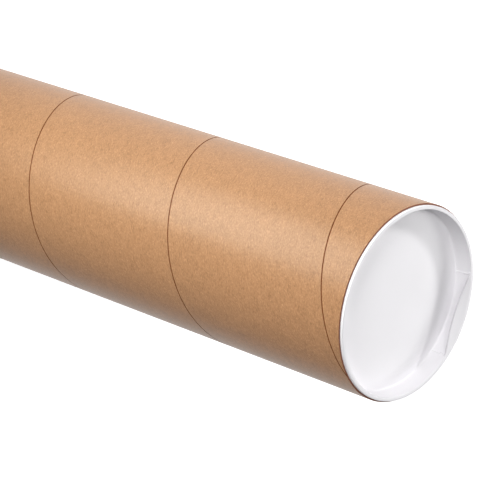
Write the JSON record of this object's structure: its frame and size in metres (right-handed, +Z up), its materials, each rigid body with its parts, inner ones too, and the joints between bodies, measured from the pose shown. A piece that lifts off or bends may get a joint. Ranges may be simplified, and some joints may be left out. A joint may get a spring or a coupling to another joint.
{
  "type": "cardboard mailing tube",
  "caption": "Heavy-wall kraft cardboard mailing tube for posting rolled papers, closed by push-in white plastic caps with finger tabs that pull out of the ends.",
  "frame": {"origin": "centre of the lower cap's front ring, in the plane it stands on", "axes": "+Z up along the tube's axis; +Y towards the finger tabs of both caps; +X completes a right-handed frame"},
  "size_m": [0.1588, 0.1586, 0.6148],
  "materials": {
    "kraft_board": "matte",
    "cap_plastic": "satin"
  },
  "bodies": {
    "bottom_cap": {"bottom_cap": "cap_plastic"},
    "tube": {"tube": "kraft_board"},
    "top_cap": {"top_cap": "cap_plastic"}
  },
  "joints": [
    {"name": "tube_pull", "type": "slide", "parent": "bottom_cap", "child": "tube", "axis": [0, 0, 1], "range_m": [0, 0.06]},
    {"name": "top_cap_pull", "type": "slide", "parent": "tube", "child": "top_cap", "axis": [0, 0, 1], "range_m": [0, 0.06]}
  ]
}
